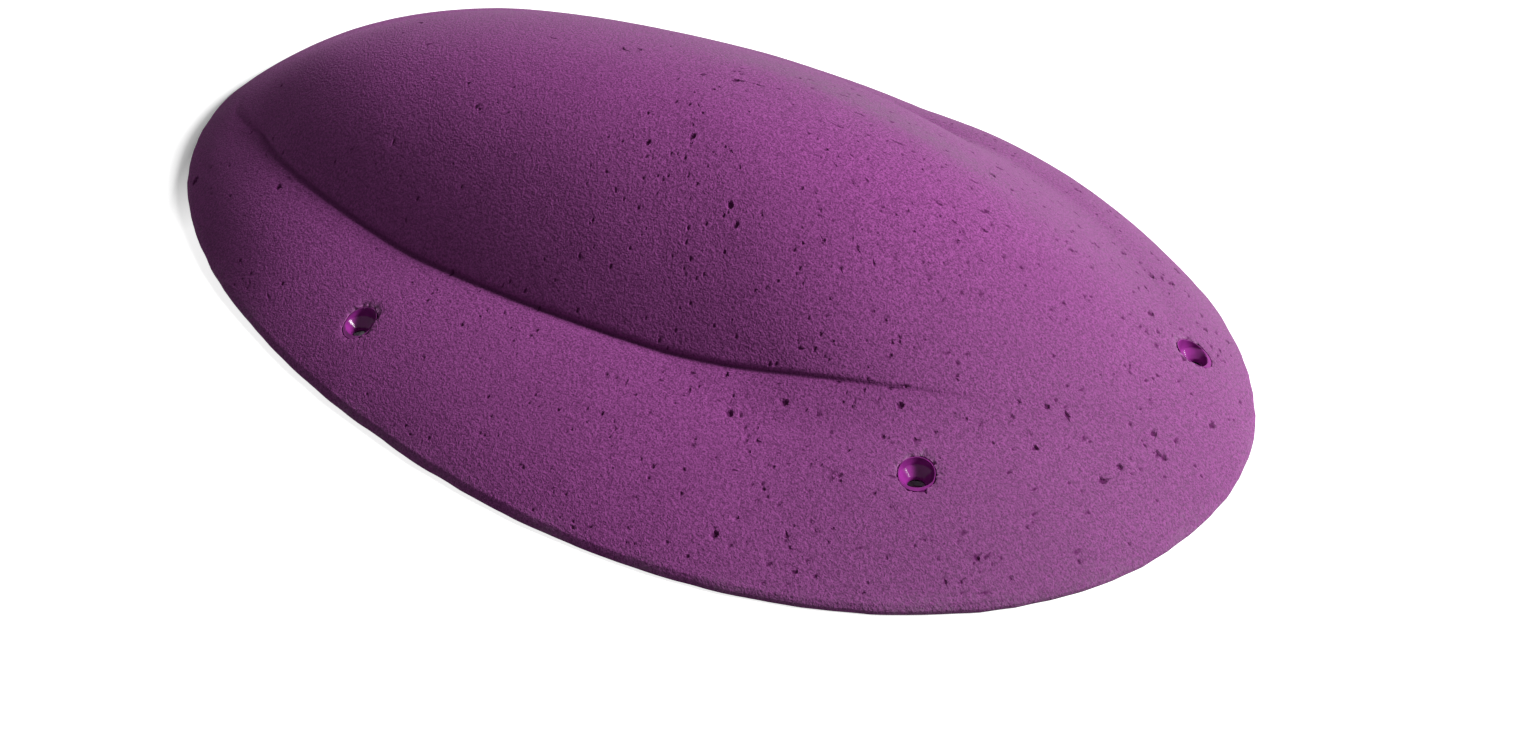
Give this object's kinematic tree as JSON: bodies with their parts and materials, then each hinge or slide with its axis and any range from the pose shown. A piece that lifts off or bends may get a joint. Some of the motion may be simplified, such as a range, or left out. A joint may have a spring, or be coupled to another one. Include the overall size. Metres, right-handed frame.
{
  "type": "climbing volume",
  "caption": "Long rounded climbing volume with a raised lobe, a deep fold along its front, countersunk screw holes round its edge and a ribbed hollow back.",
  "frame": {"origin": "on the wall face, at the middle of the overall length and width", "axes": "+X along the length, towards the broad right end; +Z away from the wall; the fold under the lobe runs along the -Y side"},
  "size_m": [0.476, 0.3014, 0.0909],
  "materials": {
    "casting": "matt purple cast resin with a gritty, foam-like skin, small dark pits and a greyish dusty sheen",
    "seat": "smooth, glossy purple resin",
    "washer": "plain zinc-plated steel"
  },
  "bodies": {
    "root": {"shell": "casting", "screw_seat_front_left": "seat", "screw_seat_front_right": "seat", "screw_seat_right_end": "seat", "screw_seat_back_right": "seat", "screw_seat_back_left": "seat", "washer_front_left": "washer", "washer_front_right": "washer", "washer_right_end": "washer", "washer_back_right": "washer", "washer_back_left": "washer"}
  },
  "joints": []
}
